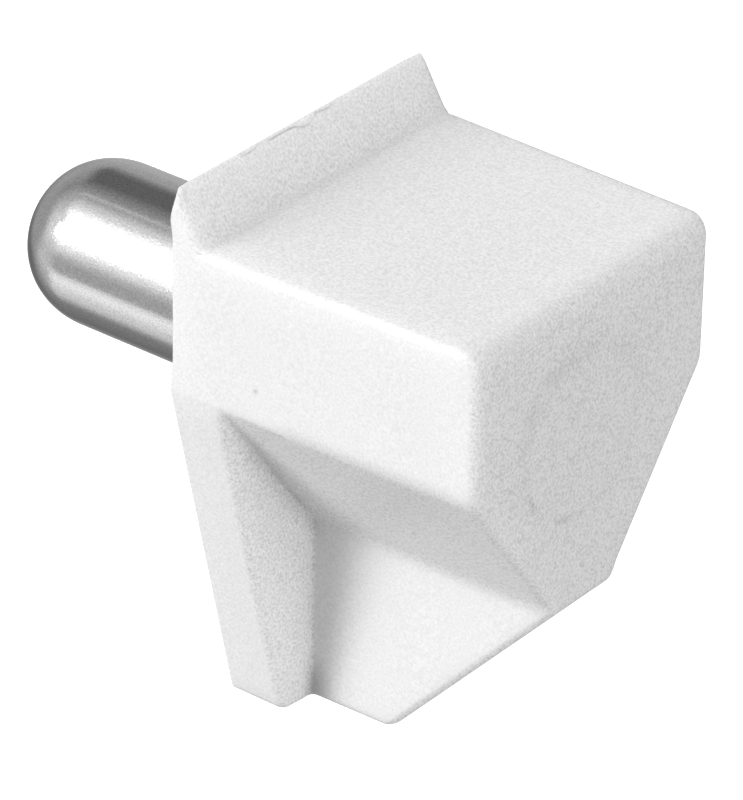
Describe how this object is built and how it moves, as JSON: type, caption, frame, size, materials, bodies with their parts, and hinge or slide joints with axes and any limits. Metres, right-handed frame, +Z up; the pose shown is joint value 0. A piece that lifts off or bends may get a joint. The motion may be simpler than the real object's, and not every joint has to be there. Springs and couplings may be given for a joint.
{
  "type": "shelf support pin",
  "caption": "White moulded bracket on a round steel pin that plugs into a cabinet side; the shelf rests on its flat top behind a low wedge lip.",
  "frame": {"origin": "on the steel pin's axis, at the back face of the plate that lies against the cabinet side", "axes": "+X out of the cabinet side, towards the bracket's front face; +Z up, out of the seat that carries the shelf; +Y across the bracket; the pin points along -X"},
  "size_m": [0.0195, 0.011, 0.0175],
  "materials": {
    "white_plastic": "satin as moulded, with soft edges and a little flash",
    "plated_steel": "bright zinc plating, lightly mottled, with fine drawing lines"
  },
  "bodies": {
    "root": {"bracket": "white_plastic", "steel_pin": "plated_steel"}
  },
  "joints": []
}
